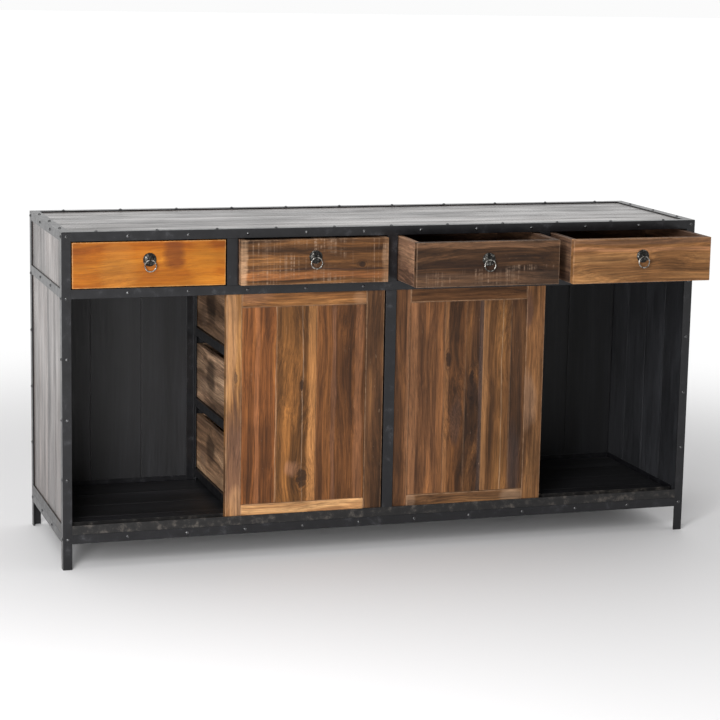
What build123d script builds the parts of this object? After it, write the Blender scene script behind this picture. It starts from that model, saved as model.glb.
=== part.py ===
"""A sideboard: riveted angle-iron frame, wooden boards, seven drawers and two sliding doors.

Millimetres. The origin is on the floor at the centre of the footprint, +X to the right,
+Z up, and the front faces -Y.
"""

import os
from math import asin, degrees

from build123d import *

os.makedirs("parts", exist_ok=True)

# Overall size of the frame
width = 1800.0
depth = 500.0
height = 900.0

# Angle iron, tee iron and flat iron
leg = 25.0  # leg of the angle
wall = 3.0  # thickness of all the iron
tee_flange = 30.0  # width across a tee
tee_stem = 25.0  # a tee's depth, flange included
foot_height = 70.0  # floor to the underside of the bottom frame
drawer_opening = 125.0  # clear height of the drawer row
trim_height = 14.0  # flat iron round the compartment floors
runner_guide = 30.0  # upstand of a runner between two drawers
runner_lap = 12.0  # how far a runner reaches under a drawer
end_web_lean = 1.0  # how far the web of an end runner stands clear of the post
joint_gap = 0.5  # between a board and the iron round it

# Boards
top_thickness = 18.0
side_thickness = 17.0
back_thickness = 15.0
floor_thickness = 12.0
board_gap = 0.8  # between neighbouring boards
top_board_count = 5
side_board_count = 4
back_board_count = 12
floor_board_count = 4

# Top drawers, left to right
drawer_count = 4
drawer_open = (0.0, 25.0, 150.0, 160.0)  # how far each one stands open
drawer_back_gap = 41.0  # behind a shut drawer
drawer_side_gap = 3.0
drawer_top_gap = 3.0
drawer_lift = 1.5  # above its runners
drawer_setback = 1.0  # face behind the front of the iron when shut

# Drawers behind the left door, bottom to top
inner_count = 3
inner_height = 157.0
inner_pitch = 207.0
inner_first = 40.0  # first drawer's underside above the floor boards
inner_setback = 110.0  # faces behind the front of the iron
inner_back_gap = 12.0  # behind them

# What all the drawers are made of
front_thickness = 20.0
box_thickness = 14.0
base_thickness = 6.0
base_raise = 6.0  # drawer base above the lower edge of the sides
glue_gap = 0.2  # between two boards of one drawer or door
cut_through = 2.0  # length of a cutter against what it goes through

# Ring pulls
pull_raise = 12.0  # above the middle of a front
rosette_radius = 18.0
rosette_rim = 1.5
rosette_dome = 5.0
neck_radius = 3.4
neck_reach = 7.5  # end of the neck in front of the wood
eye_radius = 5.2
eye_reach = 11.0  # eye centre in front of the wood
ring_radius = 15.25
ring_wire = 1.75
ring_clearance = 1.1  # round the wire where it passes the eye
stud_radius = 2.5
stud_clearance = 0.1
stud_end = 1.0  # beyond its nut
nut_across = 8.0
nut_thickness = 4.0

# Sliding doors
door_overlap = 27.0  # wider than the bay it covers
left_door_gap = 2.0  # beside the flange of the middle tee
right_door_lap = 3.0  # behind the flange of the middle tee
door_thickness = 22.0
door_front_gap = 2.0
door_back_gap = 3.5
door_foot_gap = 1.0
door_top_lap = 10.0  # behind the middle rail
rail_top = 47.0
rail_bottom = 36.0
left_stiles = (43.0, 51.0)
right_stiles = (46.0, 54.0)
plank_recess = 3.0
plank_thickness = 14.0
left_plank_shares = (0.28, 0.32, 0.40)
right_plank_shares = (0.30, 0.18, 0.15, 0.24, 0.13)
track_wall = 1.5
track_guide = 12.0  # upstand behind the doors' lower edge
guide_drop = 25.0  # guide behind the doors' upper edge

# Rivet heads
rivet_radius = 4.5
rivet_rim = 0.5
rivet_height = 3.0
rivets_long = 12  # along a front rail, corner to corner
rivets_short = 4  # along a side rail, corner to corner
rivets_post = 6  # down a post

# Planes and levels that the pieces share
left = -width / 2
right = width / 2
front = -depth / 2
back = depth / 2
post_top = height - wall
opening_top = height - leg
opening_low = opening_top - drawer_opening
mid_low = opening_low - leg
bottom_high = foot_height + leg
lip_high = bottom_high + leg
floor_low = bottom_high + wall
floor_high = floor_low + floor_thickness
board_top = post_top - top_thickness

inner_left = left + wall + side_thickness
inner_right = right - wall - side_thickness
inner_back = back - wall - back_thickness
bay = (width - 2 * leg - (drawer_count - 1) * tee_flange) / drawer_count
bay_pitch = bay + tee_flange
bay_centres = [left + leg + bay / 2 + i * bay_pitch for i in range(drawer_count)]
tee_centres = [centre + bay_pitch / 2 for centre in bay_centres[:-1]]

door_face = front + wall + door_front_gap
door_rear = door_face + door_thickness
guide_face = door_rear + door_back_gap
guide_rear = guide_face + track_wall
door_low = floor_high + track_wall + door_foot_gap
door_high = mid_low + door_top_lap
door_width = bay + door_overlap

drawer_width = bay - 2 * drawer_side_gap
drawer_low = opening_low + drawer_lift
drawer_height = drawer_opening - drawer_top_gap - drawer_lift
drawer_depth = inner_back - drawer_back_gap - (front + drawer_setback)
inner_depth = inner_back - inner_back_gap - (front + inner_setback)


def bar(x_low, x_high, y_low, y_high, z_low, z_high):
    """Adds a rectangular bar between two corners to the piece being made."""
    with Locations(((x_low + x_high) / 2, (y_low + y_high) / 2, (z_low + z_high) / 2)):
        Box(x_high - x_low, y_high - y_low, z_high - z_low)


def angle_section(plane, long_leg=leg, short_leg=leg, thick=wall):
    """L section: its heel is the plane's origin, its legs lie along the plane's X and Y."""
    with BuildSketch(plane) as section:
        with BuildLine():
            Polyline(
                (0, 0),
                (long_leg, 0),
                (long_leg, thick),
                (thick, thick),
                (thick, short_leg),
                (0, short_leg),
                close=True,
            )
        make_face()
    return section.sketch


def tee_section(plane):
    """T section: the middle of its flange's face is the plane's origin, its stem lies along Y."""
    with BuildSketch(plane) as section:
        with Locations((0, wall / 2)):
            Rectangle(tee_flange, wall)
        with Locations((0, tee_stem / 2)):
            Rectangle(wall, tee_stem)
    return section.sketch


def dome_section(plane, radius, rim, height):
    """Half section of a round-headed disc: its axis is the plane's Y, its back the plane's X."""
    rise = height - rim
    crown = (radius**2 + rise**2) / (2 * rise)
    half_angle = degrees(asin(radius / crown))
    with BuildSketch(plane) as section:
        with BuildLine():
            CenterArc((0, height - crown), crown, 90 - half_angle, half_angle)
            Polyline((0, height), (0, 0), (radius, 0), (radius, rim))
        make_face()
    return section.sketch


def save(piece, name):
    """Labels a finished piece and writes it."""
    piece.part.label = name
    export_step(piece.part, f"parts/{name}.step")


def split_evenly(low, high, count, gap):
    """Lower and upper edges of boards laid side by side with a gap between them."""
    board = (high - low - (count - 1) * gap) / count
    return [(low + i * (board + gap), low + i * (board + gap) + board) for i in range(count)]


# ---- Frame ----

# Corner posts: plain angle, which also makes the feet
post_corners = {
    "post_front_left": (left, front, (1, 0, 0)),
    "post_front_right": (right, front, (0, 1, 0)),
    "post_back_right": (right, back, (-1, 0, 0)),
    "post_back_left": (left, back, (0, -1, 0)),
}
for name, (x, y, direction) in post_corners.items():
    with BuildPart() as post:
        extrude(angle_section(Plane((x, y, 0), x_dir=direction)), amount=post_top)
    save(post, name)


def angle_ring(name, web_low, web_high, shelf_low, shelf_width, shelf_depth):
    """Four angles welded in a ring: upright webs between the posts, and a flat shelf inside."""
    with BuildPart() as ring:
        with BuildSketch(Plane.XY.offset(web_low)):
            with GridLocations(0, depth - wall, 1, 2):
                Rectangle(width - 2 * leg, wall)
            with GridLocations(width - wall, 0, 2, 1):
                Rectangle(wall, depth - 2 * leg)
        extrude(amount=web_high - web_low)
        with BuildSketch(Plane.XY.offset(shelf_low)):
            Rectangle(shelf_width, shelf_depth)
            Rectangle(width - 2 * leg, depth - 2 * leg, mode=Mode.SUBTRACT)
        extrude(amount=wall)
    save(ring, name)


within_posts = (width - 2 * wall, depth - 2 * wall)
angle_ring("top_frame", opening_top, post_top, post_top, width, depth)
angle_ring("mid_frame", mid_low, opening_low, opening_low - wall, *within_posts)
angle_ring("bottom_frame", foot_height, bottom_high, bottom_high - wall, *within_posts)
angle_ring("lip_frame", bottom_high, lip_high, bottom_high, *within_posts)

# Tees between the drawers, and one between the doors
with BuildPart() as drawer_tees:
    for x in tee_centres:
        extrude(tee_section(Plane((x, front, opening_low))), amount=drawer_opening)
save(drawer_tees, "drawer_tees")

middle = tee_centres[drawer_count // 2 - 1]
with BuildPart() as door_tee:
    extrude(tee_section(Plane((middle, front, lip_high))), amount=mid_low - lip_high)
save(door_tee, "door_tee")

# Track under the doors and guide above them: two angles, one the other upside down
track_length = width - 2 * leg
track_width = guide_rear - (front + wall)
with BuildPart() as door_track:
    heel = Plane((right - leg, guide_rear, floor_high), x_dir=(0, -1, 0), z_dir=(-1, 0, 0))
    extrude(angle_section(heel, track_width, track_guide, track_wall), amount=track_length)
save(door_track, "door_track")

with BuildPart() as door_guide:
    heel = Plane((left + leg, guide_rear, opening_low - wall), x_dir=(0, -1, 0), z_dir=(1, 0, 0))
    extrude(angle_section(heel, track_width, guide_drop, track_wall), amount=track_length)
save(door_guide, "door_guide")

# Runners of the top drawers: a tee on its back under each pair, an angle at each end
with BuildPart() as drawer_runners:
    shelves = [(x - tee_flange / 2 - runner_lap, x + tee_flange / 2 + runner_lap) for x in tee_centres]
    webs = [(x - wall / 2, x + wall / 2, front + tee_stem) for x in tee_centres]
    for side in (-1, 1):
        inside = side * (right - leg)
        shelves.append(sorted((inside, inside - side * (runner_lap + drawer_side_gap))))
        clear = inside - side * end_web_lean
        webs.append((*sorted((clear, clear + side * wall)), front + leg))
    for x_low, x_high in shelves:
        bar(x_low, x_high, front + leg, back - leg, opening_low - wall, opening_low)
    for x_low, x_high, start in webs:
        bar(x_low, x_high, start, inner_back - leg, opening_low, opening_low + runner_guide)
save(drawer_runners, "drawer_runners")

# Uprights round the inner drawers: angles with their stems beside the drawers
inner_bay = bay_centres[1]
stem_face = drawer_width / 2 + drawer_side_gap  # from the bay's centre to a stem's inner side
upright_height = opening_low - wall - floor_high
with BuildPart() as inner_uprights:
    for side in (-1, 1):
        x = inner_bay + side * (stem_face + wall)
        for y, inward in ((guide_rear, 1), (inner_back, -1)):
            with BuildSketch(Plane((x, y, floor_high))):
                with Locations((side * leg / 2 - side * wall, inward * wall / 2)):
                    Rectangle(leg, wall)
                with Locations((-side * wall / 2, inward * leg / 2)):
                    Rectangle(wall, leg)
            extrude(amount=upright_height)
save(inner_uprights, "inner_uprights")

# Runners of the inner drawers, between the stems of the uprights
inner_lows = [floor_high + inner_first + i * inner_pitch for i in range(inner_count)]
with BuildPart() as inner_runners:
    for low in inner_lows:
        top = low - drawer_lift
        for side in (-1, 1):
            web = sorted((inner_bay + side * stem_face, inner_bay + side * (stem_face + wall)))
            bar(*web, guide_rear + leg, inner_back - leg, top - leg, top)
            outer = inner_bay + side * stem_face
            shelf = sorted((outer, outer - side * (leg - wall)))
            bar(*shelf, guide_rear + leg, inner_back - leg, top - wall, top)
save(inner_runners, "inner_runners")

# Flat iron round the floors of the open compartments
trim_high = floor_high + trim_height
upright_left = inner_bay - stem_face - leg
upright_right = inner_bay + stem_face + leg
with BuildPart() as floor_trim:
    bar(inner_left, inner_left + wall, guide_rear, inner_back, floor_high, trim_high)
    bar(inner_right - wall, inner_right, guide_rear, inner_back, floor_high, trim_high)
    bar(inner_left + wall, upright_left, inner_back - wall, inner_back, floor_high, trim_high)
    bar(upright_right, inner_right - wall, inner_back - wall, inner_back, floor_high, trim_high)
save(floor_trim, "floor_trim")

# Rivet heads
inset = leg / 2
long_step = (width - leg) / (rivets_long - 1)
short_step = (depth - leg) / (rivets_short - 1)
post_step = (height - foot_height - leg) / (rivets_post - 1)
post_levels = [height - inset - i * post_step for i in range(rivets_post)]
rail_levels = (height - inset, mid_low + inset, foot_height + inset)

with BuildPart(mode=Mode.PRIVATE) as rivet:
    revolve(dome_section(Plane.XZ, rivet_radius, rivet_rim, rivet_height), axis=Axis.Z)

front_spots = [(side * (width - leg) / 2, level) for side in (-1, 1) for level in post_levels]
for level in rail_levels:
    front_spots += [(left + inset + i * long_step, level) for i in range(1, rivets_long - 1)]
side_spots = [(end * (depth - leg) / 2, level) for end in (-1, 1) for level in post_levels]
for level in rail_levels:
    side_spots += [(front + inset + i * short_step, level) for i in range(1, rivets_short - 1)]
top_spots = [
    (left + inset + (i + 0.5) * long_step, side * (depth - leg) / 2)
    for i in range(rivets_long - 1)
    for side in (-1, 1)
]
top_spots += [
    (side * (width - leg) / 2, front + inset + (i + 0.5) * short_step)
    for i in range(rivets_short - 1)
    for side in (-1, 1)
]

with BuildPart() as frame_rivets:
    for face, spots in (
        (Plane((0, front, 0), x_dir=(1, 0, 0), z_dir=(0, -1, 0)), front_spots),
        (Plane((0, back, 0), x_dir=(-1, 0, 0), z_dir=(0, 1, 0)), front_spots),
        (Plane((left, 0, 0), x_dir=(0, -1, 0), z_dir=(-1, 0, 0)), side_spots),
        (Plane((right, 0, 0), x_dir=(0, 1, 0), z_dir=(1, 0, 0)), side_spots),
        (Plane((0, 0, height)), top_spots),
    ):
        with Locations(face):
            with Locations(*spots):
                add(rivet.part)
save(frame_rivets, "frame_rivets")

# ---- Boards ----

board_left = left + wall + joint_gap
board_right = right - wall - joint_gap
board_front = front + wall + joint_gap
board_back = back - wall - joint_gap
with BuildPart() as top_boards:
    edges = split_evenly(board_front, board_back, top_board_count, board_gap)
    for low, high in edges:
        bar(board_left, board_right, low, high, board_top, post_top)
save(top_boards, "top_boards")

# The side and back boards stand in two tiers, below and above the middle frame's shelf
tiers = ((floor_low, opening_low - wall), (opening_low, board_top))
for name, x_low, x_high in (
    ("left_side_boards", board_left, inner_left),
    ("right_side_boards", inner_right, board_right),
):
    with BuildPart() as side_boards:
        edges = split_evenly(board_front, board_back, side_board_count, board_gap)
        for low, high in edges:
            for z_low, z_high in tiers:
                bar(x_low, x_high, low, high, z_low, z_high)
    save(side_boards, name)

with BuildPart() as back_boards:
    edges = split_evenly(inner_left + joint_gap, inner_right - joint_gap, back_board_count, board_gap)
    for low, high in edges:
        for z_low, z_high in tiers:
            bar(low, high, inner_back, board_back, z_low, z_high)
save(back_boards, "back_boards")

with BuildPart() as floor_boards:
    edges = split_evenly(board_front, inner_back - joint_gap, floor_board_count, board_gap)
    for low, high in edges:
        bar(inner_left + joint_gap, inner_right - joint_gap, low, high, floor_low, floor_high)
save(floor_boards, "floor_boards")

# ---- Sliding doors ----


def sliding_door(name, x_low, stiles, shares):
    """Two stiles, two rails between them and upright planks set back in the frame."""
    x_high = x_low + door_width
    opening_left = x_low + stiles[0]
    opening_right = x_high - stiles[1]
    rear = door_rear
    with BuildPart() as door_stiles:
        bar(x_low, opening_left, door_face, rear, door_low, door_high)
        bar(opening_right, x_high, door_face, rear, door_low, door_high)
    save(door_stiles, f"{name}_stiles")
    with BuildPart() as door_rails:
        for z_low, z_high in ((door_low, door_low + rail_bottom), (door_high - rail_top, door_high)):
            bar(opening_left + glue_gap, opening_right - glue_gap, door_face, rear, z_low, z_high)
    save(door_rails, f"{name}_rails")
    panel_width = opening_right - opening_left - 2 * glue_gap
    edge = opening_left + glue_gap
    with BuildPart() as door_planks:
        for share in shares:
            plank = share * panel_width
            bar(
                edge,
                edge + plank - glue_gap,
                door_face + plank_recess,
                door_face + plank_recess + plank_thickness,
                door_low + rail_bottom + glue_gap,
                door_high - rail_top - glue_gap,
            )
            edge += plank
    save(door_planks, f"{name}_planks")


left_door_edge = middle - tee_flange / 2 - left_door_gap - door_width
right_door_edge = middle + tee_flange / 2 - right_door_lap
sliding_door("left_door", left_door_edge, left_stiles, left_plank_shares)
sliding_door("right_door", right_door_edge, right_stiles, right_plank_shares)

# ---- Drawers ----


# One pull, made where the middle of its rosette's back is the origin and the wood faces -Y
stud_reach = front_thickness + nut_thickness + stud_end
with BuildPart(mode=Mode.PRIVATE) as rosette:
    disc = Plane((0, 0, 0), x_dir=(1, 0, 0), z_dir=(0, 0, -1))
    disc_section = dome_section(disc, rosette_radius, rosette_rim, rosette_dome)
    revolve(disc_section, axis=Axis((0, 0, 0), (0, -1, 0)))
    with BuildSketch(Plane.XZ):
        Circle(neck_radius)
    extrude(amount=neck_reach)
    with Locations(Location((0, -eye_reach, 0), (0, 90, 0))):
        Sphere(eye_radius)
        Cylinder(ring_wire + ring_clearance, cut_through * 2 * eye_radius, mode=Mode.SUBTRACT)
    with BuildSketch(Plane.XZ.offset(-stud_reach)):
        Circle(stud_radius)
    extrude(amount=stud_reach + rosette_rim)
    with BuildSketch(Plane.XZ.offset(-front_thickness - nut_thickness)):
        RegularPolygon(nut_across / 2, 6, major_radius=False)
        Circle(stud_radius + stud_clearance, mode=Mode.SUBTRACT)
    extrude(amount=nut_thickness)

with BuildPart(mode=Mode.PRIVATE) as ring:
    with BuildSketch(Plane((0, -eye_reach, 0), z_dir=(1, 0, 0))):
        Circle(ring_wire)
    revolve(axis=Axis((0, -eye_reach, -ring_radius), (0, 1, 0)))


def ring_pull(name, x, face, level):
    """Rosette with its eye, stud and nut, and the ring that hangs in the eye."""
    for piece, label in ((rosette, "rosette"), (ring, "ring")):
        with BuildPart() as placed:
            with Locations((x, face, level)):
                add(piece.part)
        save(placed, f"{name}_{label}")


def drawer_front(name, x, face, low, tall):
    """Front board with the hole for its pull's stud."""
    level = low + tall / 2 + pull_raise
    with BuildPart() as board:
        bar(x - drawer_width / 2, x + drawer_width / 2, face, face + front_thickness, low, low + tall)
        with Locations(Location((x, face + front_thickness / 2, level), (90, 0, 0))):
            Cylinder(stud_radius + stud_clearance, cut_through * front_thickness, mode=Mode.SUBTRACT)
    save(board, f"{name}_front")
    ring_pull(name, x, face, level)


def drawer_sides(x, face, low, tall, length):
    """Two sides and a back behind the front board, for the piece being made."""
    start = face + front_thickness + glue_gap
    end = face + length
    half = drawer_width / 2
    bar(x - half, x - half + box_thickness, start, end, low, low + tall)
    bar(x + half - box_thickness, x + half, start, end, low, low + tall)
    inside = half - box_thickness - glue_gap
    bar(x - inside, x + inside, end - box_thickness, end, low, low + tall)


def drawer_base(x, face, low, length):
    """Base board let in between the sides, for the piece being made."""
    inside = drawer_width / 2 - box_thickness - glue_gap
    start = face + front_thickness + glue_gap
    end = face + length - box_thickness - glue_gap
    bar(x - inside, x + inside, start, end, low + base_raise, low + base_raise + base_thickness)


for number, (x, opened) in enumerate(zip(bay_centres, drawer_open), start=1):
    name = f"drawer_{number}"
    face = front + drawer_setback - opened
    drawer_front(name, x, face, drawer_low, drawer_height)
    with BuildPart() as drawer_box:
        drawer_sides(x, face, drawer_low, drawer_height, drawer_depth)
    save(drawer_box, f"{name}_box")
    with BuildPart() as drawer_bottom:
        drawer_base(x, face, drawer_low, drawer_depth)
    save(drawer_bottom, f"{name}_base")

for number, low in enumerate(inner_lows, start=1):
    name = f"inner_drawer_{number}"
    face = front + inner_setback
    drawer_front(name, inner_bay, face, low, inner_height)
    with BuildPart() as drawer_box:
        drawer_sides(inner_bay, face, low, inner_height, inner_depth)
        drawer_base(inner_bay, face, low, inner_depth)
    save(drawer_box, f"{name}_box")
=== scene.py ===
import random
from math import cos, radians

import bmesh
import bpy
from mathutils import Matrix, Vector


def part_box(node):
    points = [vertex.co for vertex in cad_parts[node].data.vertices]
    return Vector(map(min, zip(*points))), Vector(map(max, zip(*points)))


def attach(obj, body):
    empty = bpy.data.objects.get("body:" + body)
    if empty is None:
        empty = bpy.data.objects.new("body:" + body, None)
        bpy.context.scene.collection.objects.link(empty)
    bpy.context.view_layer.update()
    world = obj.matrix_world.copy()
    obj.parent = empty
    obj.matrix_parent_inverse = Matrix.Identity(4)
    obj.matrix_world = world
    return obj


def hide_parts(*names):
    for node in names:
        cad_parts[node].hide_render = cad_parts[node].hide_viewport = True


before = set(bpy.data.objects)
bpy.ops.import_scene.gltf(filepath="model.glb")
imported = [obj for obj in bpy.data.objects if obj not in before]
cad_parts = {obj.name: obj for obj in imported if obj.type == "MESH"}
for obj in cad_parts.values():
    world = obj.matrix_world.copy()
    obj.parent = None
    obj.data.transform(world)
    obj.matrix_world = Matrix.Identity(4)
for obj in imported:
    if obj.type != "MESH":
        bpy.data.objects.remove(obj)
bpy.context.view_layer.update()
print("frame loaded")


# Camera: yaw turns it to the right, pitch down, roll to the left

camera = {"place": (-1.874, -5.769, 1.596), "yaw": 0.3133, "pitch": 0.1808, "roll": 0.0189, "lens": 108.65,
          "sensor": 36, "reach": 200}


def addCamera():
    data = bpy.data.cameras.new("viewCamera")
    data.lens = camera["lens"]
    data.sensor_width = camera["sensor"]
    data.clip_end = camera["reach"]
    view = bpy.data.objects.new("viewCamera", data)
    bpy.context.scene.collection.objects.link(view)
    turn = Matrix.Rotation(-camera["yaw"], 4, "Z")
    turn @= Matrix.Rotation(radians(90) - camera["pitch"], 4, "X")
    turn @= Matrix.Rotation(camera["roll"], 4, "Z")
    view.matrix_world = Matrix.Translation(camera["place"]) @ turn
    bpy.context.scene.camera = view


# Shader helpers: each adds one node and gives back its output


def wire(tree, kind, values, out=0, **options):
    made = tree.nodes.new(kind)
    for key, value in options.items():
        setattr(made, key, value)
    for key, value in values.items():
        if isinstance(value, bpy.types.NodeSocket):
            tree.links.new(value, made.inputs[key])
        else:
            made.inputs[key].default_value = value
    return made.outputs[out]


def calc(tree, operation, first, second=0.0):
    return wire(tree, "ShaderNodeMath", {0: first, 1: second}, operation=operation)


def remap(tree, value, fromLow, fromHigh, toLow=0.0, toHigh=1.0):
    return wire(tree, "ShaderNodeMapRange", {0: value, 1: fromLow, 2: fromHigh, 3: toLow, 4: toHigh})


def blend(tree, factor, first, second, how="MIX"):
    return wire(tree, "ShaderNodeMix", {0: factor, 6: first, 7: second}, out=2, data_type="RGBA",
                blend_type=how)


def stretch(tree, vector, factors):
    return wire(tree, "ShaderNodeVectorMath", {0: vector, 1: factors}, operation="MULTIPLY")


def shift(tree, vector, step):
    return wire(tree, "ShaderNodeVectorMath", {0: vector, 1: step}, operation="ADD")


def speckle(tree, vector, scale, detail=2.0, roughness=0.5):
    values = {"Vector": vector, "Scale": scale, "Detail": detail, "Roughness": roughness}
    return wire(tree, "ShaderNodeTexNoise", values)


def rgba(colour):
    return (colour[0], colour[1], colour[2], 1.0)


def newGroup(name, inputs, outputs):
    group = bpy.data.node_groups.new(name, "ShaderNodeTree")
    for label, kind in inputs:
        group.interface.new_socket(name=label, in_out="INPUT", socket_type=kind)
    for label, kind in outputs:
        group.interface.new_socket(name=label, in_out="OUTPUT", socket_type=kind)
    return group, group.nodes.new("NodeGroupInput").outputs, group.nodes.new("NodeGroupOutput").inputs


def useGroup(tree, group, values):
    made = tree.nodes.new("ShaderNodeGroup")
    made.node_tree = group
    for key, value in values.items():
        if isinstance(value, bpy.types.NodeSocket):
            tree.links.new(value, made.inputs[key])
        else:
            made.inputs[key].default_value = value
    return made.outputs


def newMaterial(name):
    material = bpy.data.materials.new(name)
    material.use_nodes = True
    tree = material.node_tree
    return material, tree, tree.nodes["Principled BSDF"]


# Wood figure: the vector's X runs across the board, Y into it and Z along its grain

vectorSocket = "NodeSocketVector"
floatSocket = "NodeSocketFloat"


def makeWoodFigure():
    group, given, result = newGroup(
        "woodFigure",
        [("Vector", vectorSocket), ("Seed", floatSocket), ("Streaks", floatSocket), ("Sweep", floatSocket)],
        [("Streak", floatSocket), ("Grain", floatSocket), ("Fibre", floatSocket), ("Pore", floatSocket),
         ("Cloud", floatSocket), ("Fleck", floatSocket)],
    )
    seedStep = wire(group, "ShaderNodeCombineXYZ", {0: calc(group, "MULTIPLY", given["Seed"], 3.7),
                                                    2: calc(group, "MULTIPLY", given["Seed"], 5.3)})
    place = shift(group, given["Vector"], seedStep)
    wander = calc(group, "SUBTRACT", speckle(group, stretch(group, place, (5, 5, 1.6)), 1, 2), 0.5)
    wander = calc(group, "MULTIPLY", wander, given["Sweep"])
    bent = shift(group, place, wire(group, "ShaderNodeCombineXYZ", {0: wander, 1: wander}))
    broad = wire(group, "ShaderNodeVectorMath",
                 {0: stretch(group, bent, (1, 1, 0.055)), "Scale": given["Streaks"]},
                 operation="SCALE")
    group.links.new(speckle(group, broad, 1, 4, 0.62), result["Streak"])
    group.links.new(speckle(group, stretch(group, bent, (175, 175, 3)), 1, 4, 0.7), result["Grain"])
    group.links.new(speckle(group, stretch(group, bent, (520, 520, 9)), 1, 3, 0.6), result["Fibre"])
    fleck = speckle(group, stretch(group, bent, (150, 150, 34)), 1, 3, 0.7)
    group.links.new(remap(group, fleck, 0.66, 0.74), result["Fleck"])
    pore = speckle(group, stretch(group, bent, (900, 900, 45)), 1, 1)
    group.links.new(remap(group, pore, 0.62, 0.74), result["Pore"])
    group.links.new(speckle(group, stretch(group, place, (9, 9, 3)), 1, 4, 0.6), result["Cloud"])
    return group


def makeKnotBend():
    group, given, result = newGroup(
        "knotBend",
        [("Vector", vectorSocket), ("Centre", vectorSocket), ("Size", floatSocket),
         ("Length", floatSocket)],
        [("Vector", vectorSocket), ("Knot", floatSocket), ("Ring", floatSocket)],
    )
    away = wire(group, "ShaderNodeVectorMath", {0: given["Vector"], 1: given["Centre"]},
                operation="SUBTRACT")
    axes = group.nodes.new("ShaderNodeSeparateXYZ")
    group.links.new(away, axes.inputs[0])
    wobble = calc(group, "SUBTRACT", speckle(group, given["Vector"], 70, 4, 0.65), 0.5)
    acrossPart = calc(group, "DIVIDE", axes.outputs[0], given["Size"])
    alongPart = calc(group, "DIVIDE", axes.outputs[2], given["Length"])
    square = calc(group, "ADD", calc(group, "MULTIPLY", acrossPart, acrossPart),
                  calc(group, "MULTIPLY", alongPart, alongPart))
    square = calc(group, "ADD", square, calc(group, "MULTIPLY", wobble, 2.6))
    reach = calc(group, "EXPONENT", calc(group, "MULTIPLY", square, -0.35))
    push = calc(group, "MULTIPLY", calc(group, "MULTIPLY", axes.outputs[0], reach), -0.9)
    group.links.new(shift(group, given["Vector"], wire(group, "ShaderNodeCombineXYZ", {0: push})),
                    result["Vector"])
    group.links.new(remap(group, square, 1.1, 0.25), result["Knot"])
    rings = calc(group, "SINE",
                 calc(group, "MULTIPLY", calc(group, "SQRT", calc(group, "ABSOLUTE", square)), 11))
    inside = remap(group, square, 2.6, 0.6)
    group.links.new(calc(group, "MULTIPLY", remap(group, rings, -0.2, 1), inside), result["Ring"])
    return group


def makeSawMarks():
    group, given, result = newGroup(
        "sawMarks", [("Vector", vectorSocket), ("Pitch", floatSocket), ("Cover", floatSocket)],
        [("Mark", floatSocket)]
    )
    slant = stretch(group, given["Vector"], (0.02, 0.02, 1))
    lines = wire(group, "ShaderNodeVectorMath",
                 {0: slant, "Scale": calc(group, "DIVIDE", 1.0, given["Pitch"])},
                 operation="SCALE")
    mark = remap(group, speckle(group, lines, 1, 2, 0.7), 0.5, 0.68)
    broken = speckle(group, stretch(group, given["Vector"], (160, 160, 60)), 1, 2)
    mark = calc(group, "MULTIPLY", mark, remap(group, broken, 0.34, 0.6))
    patch = speckle(group, stretch(group, given["Vector"], (26, 26, 9)), 1, 2)
    low = calc(group, "SUBTRACT", 0.75, given["Cover"])
    patch = remap(group, patch, low, calc(group, "ADD", low, 0.2))
    group.links.new(calc(group, "MULTIPLY", mark, patch), result["Mark"])
    return group


def makeRubbing():
    group, given, result = newGroup(
        "rubbing", [("Vector", vectorSocket), ("Scale", floatSocket), ("Amount", floatSocket)],
        [("Rubbed", floatSocket), ("Mottle", floatSocket)]
    )
    coarse = speckle(group, given["Vector"], given["Scale"], 5.0, 0.62)
    fine = speckle(group, given["Vector"], 420, 3, 0.6)
    both = calc(group, "ADD", calc(group, "MULTIPLY", coarse, 0.7), calc(group, "MULTIPLY", fine, 0.3))
    low = calc(group, "SUBTRACT", 0.82, given["Amount"])
    group.links.new(remap(group, both, low, calc(group, "ADD", low, 0.12)), result["Rubbed"])
    group.links.new(coarse, result["Mottle"])
    return group


woodFigure = makeWoodFigure()
knotBend = makeKnotBend()
sawMarks = makeSawMarks()
rubbing = makeRubbing()
print("shader groups made")


# Wood: a look is a dictionary, and anything it leaves out comes from plainWood. Bands are (across, width,
# colour, strength), and patches (across, along, reach across, reach along, colour, strength), in shares.
# Inner is 1 or -1 for a board whose dark inner face is on its high or low side.

frontAxis = 1  # boards of doors and drawer fronts face the front, Y
plainWood = {"tones": ((0.07, 0.03, 0.015), (0.15, 0.062, 0.028), (0.25, 0.11, 0.045)), "streaks": 26.0,
             "sweep": 0.09, "seed": 1.0, "spread": (0.36, 0.66), "grain": 0.42, "fibre": 0.35, "pore": 0.55,
             "cloud": 0.5, "fleck": 0.14, "fleckColour": (0.36, 0.24, 0.15), "saw": 0.0, "sawPitch": 0.0045,
             "sawCover": 0.3, "sawBand": (0.5, 2.0), "sawColour": (0.42, 0.28, 0.19), "edge": 0.16,
             "edgeColour": (0.36, 0.22, 0.13), "bands": (), "patches": (), "knots": (),
             "knotColour": (0.024, 0.011, 0.006), "warmth": (1.0, 0.93, 0.68), "rough": (0.55, 0.76),
             "shine": 0.22, "coat": 0.0, "coatRough": 0.3, "bump": 0.35, "vary": 0.0, "inner": None,
             "innerColour": (0.032, 0.033, 0.037)}
woodShading = {"bandWobble": 0.16, "patchWobble": 3.0, "sawWobble": 0.5, "sawDepth": -0.7, "seedStep": 31.0,
               "ringStrength": 0.75, "ringDark": 0.6, "knotStrength": 0.88, "knotStretch": 1.6,
               "poreDark": 0.3, "rubScale": 60.0, "rubAmount": 0.34, "bumpDistance": 0.0006}


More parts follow.
